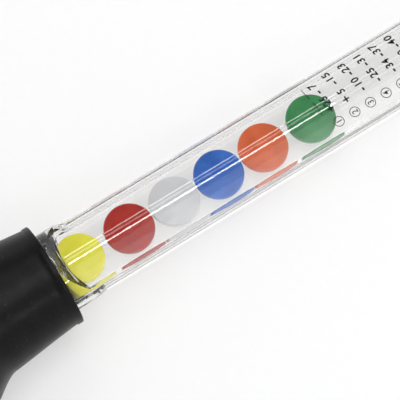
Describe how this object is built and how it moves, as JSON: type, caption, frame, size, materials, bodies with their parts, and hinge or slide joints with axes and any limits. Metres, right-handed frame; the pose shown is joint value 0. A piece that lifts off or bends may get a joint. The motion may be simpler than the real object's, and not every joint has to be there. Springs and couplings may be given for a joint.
{
  "type": "antifreeze tester",
  "caption": "Coolant tester: rubber squeeze bulb on a flat clear barrel in which coloured float discs slide, with a hose spigot at its end.",
  "frame": {"origin": "on the surface that the bulb lies on, under the middle of the tester's length and width", "axes": "+X along the barrel from the bulb to the nozzle, +Z out of the printed front face, +Y to the left of one who looks from the bulb to the nozzle with the front up"},
  "size_m": [0.24, 0.042, 0.042],
  "materials": {
    "clear_plastic": "clear moulded plastic, polished, with fine handling scratches",
    "stop_plastic": "dark moulded plastic",
    "black_rubber": "matte black moulded rubber with a faint mottled bloom",
    "disc_yellow": "satin moulded plastic",
    "disc_red": "satin moulded plastic",
    "disc_white": "satin moulded plastic",
    "disc_blue": "satin moulded plastic",
    "disc_orange": "satin moulded plastic",
    "disc_green": "satin moulded plastic"
  },
  "bodies": {
    "tester": {"barrel": "clear_plastic", "neck_stop": "stop_plastic", "bulb_shell": "black_rubber"},
    "press_left": {"press_wall_left": "black_rubber"},
    "press_right": {"press_wall_right": "black_rubber"},
    "float_yellow": {"disc_yellow": "disc_yellow"},
    "float_red": {"disc_red": "disc_red"},
    "float_white": {"disc_white": "disc_white"},
    "float_blue": {"disc_blue": "disc_blue"},
    "float_orange": {"disc_orange": "disc_orange"},
    "float_green": {"disc_green": "disc_green"}
  },
  "joints": [
    {"name": "squeeze_left", "type": "slide", "parent": "tester", "child": "press_left", "axis": [0, -1, 0], "range_m": [0, 0.012], "stiffness_N_per_m": 600},
    {"name": "squeeze_right", "type": "slide", "parent": "tester", "child": "press_right", "axis": [0, 1, 0], "range_m": [0, 0.012], "stiffness_N_per_m": 600},
    {"name": "slide_yellow", "type": "slide", "parent": "tester", "child": "float_yellow", "axis": [1, 0, 0], "range_m": [-0.0026, 0.006]},
    {"name": "slide_red", "type": "slide", "parent": "float_yellow", "child": "float_red", "axis": [1, 0, 0], "range_m": [-0.0013, 0.006]},
    {"name": "slide_white", "type": "slide", "parent": "float_red", "child": "float_white", "axis": [1, 0, 0], "range_m": [-0.0001, 0.006]},
    {"name": "slide_blue", "type": "slide", "parent": "float_white", "child": "float_blue", "axis": [1, 0, 0], "range_m": [-0.0001, 0.006]},
    {"name": "slide_orange", "type": "slide", "parent": "float_blue", "child": "float_orange", "axis": [1, 0, 0], "range_m": [-0.0001, 0.006]},
    {"name": "slide_green", "type": "slide", "parent": "float_orange", "child": "float_green", "axis": [1, 0, 0], "range_m": [-0.0013, 0.006]}
  ],
  "couplings": [
    {"joint": "squeeze_right", "follows": "squeeze_left", "ratio": 1}
  ]
}
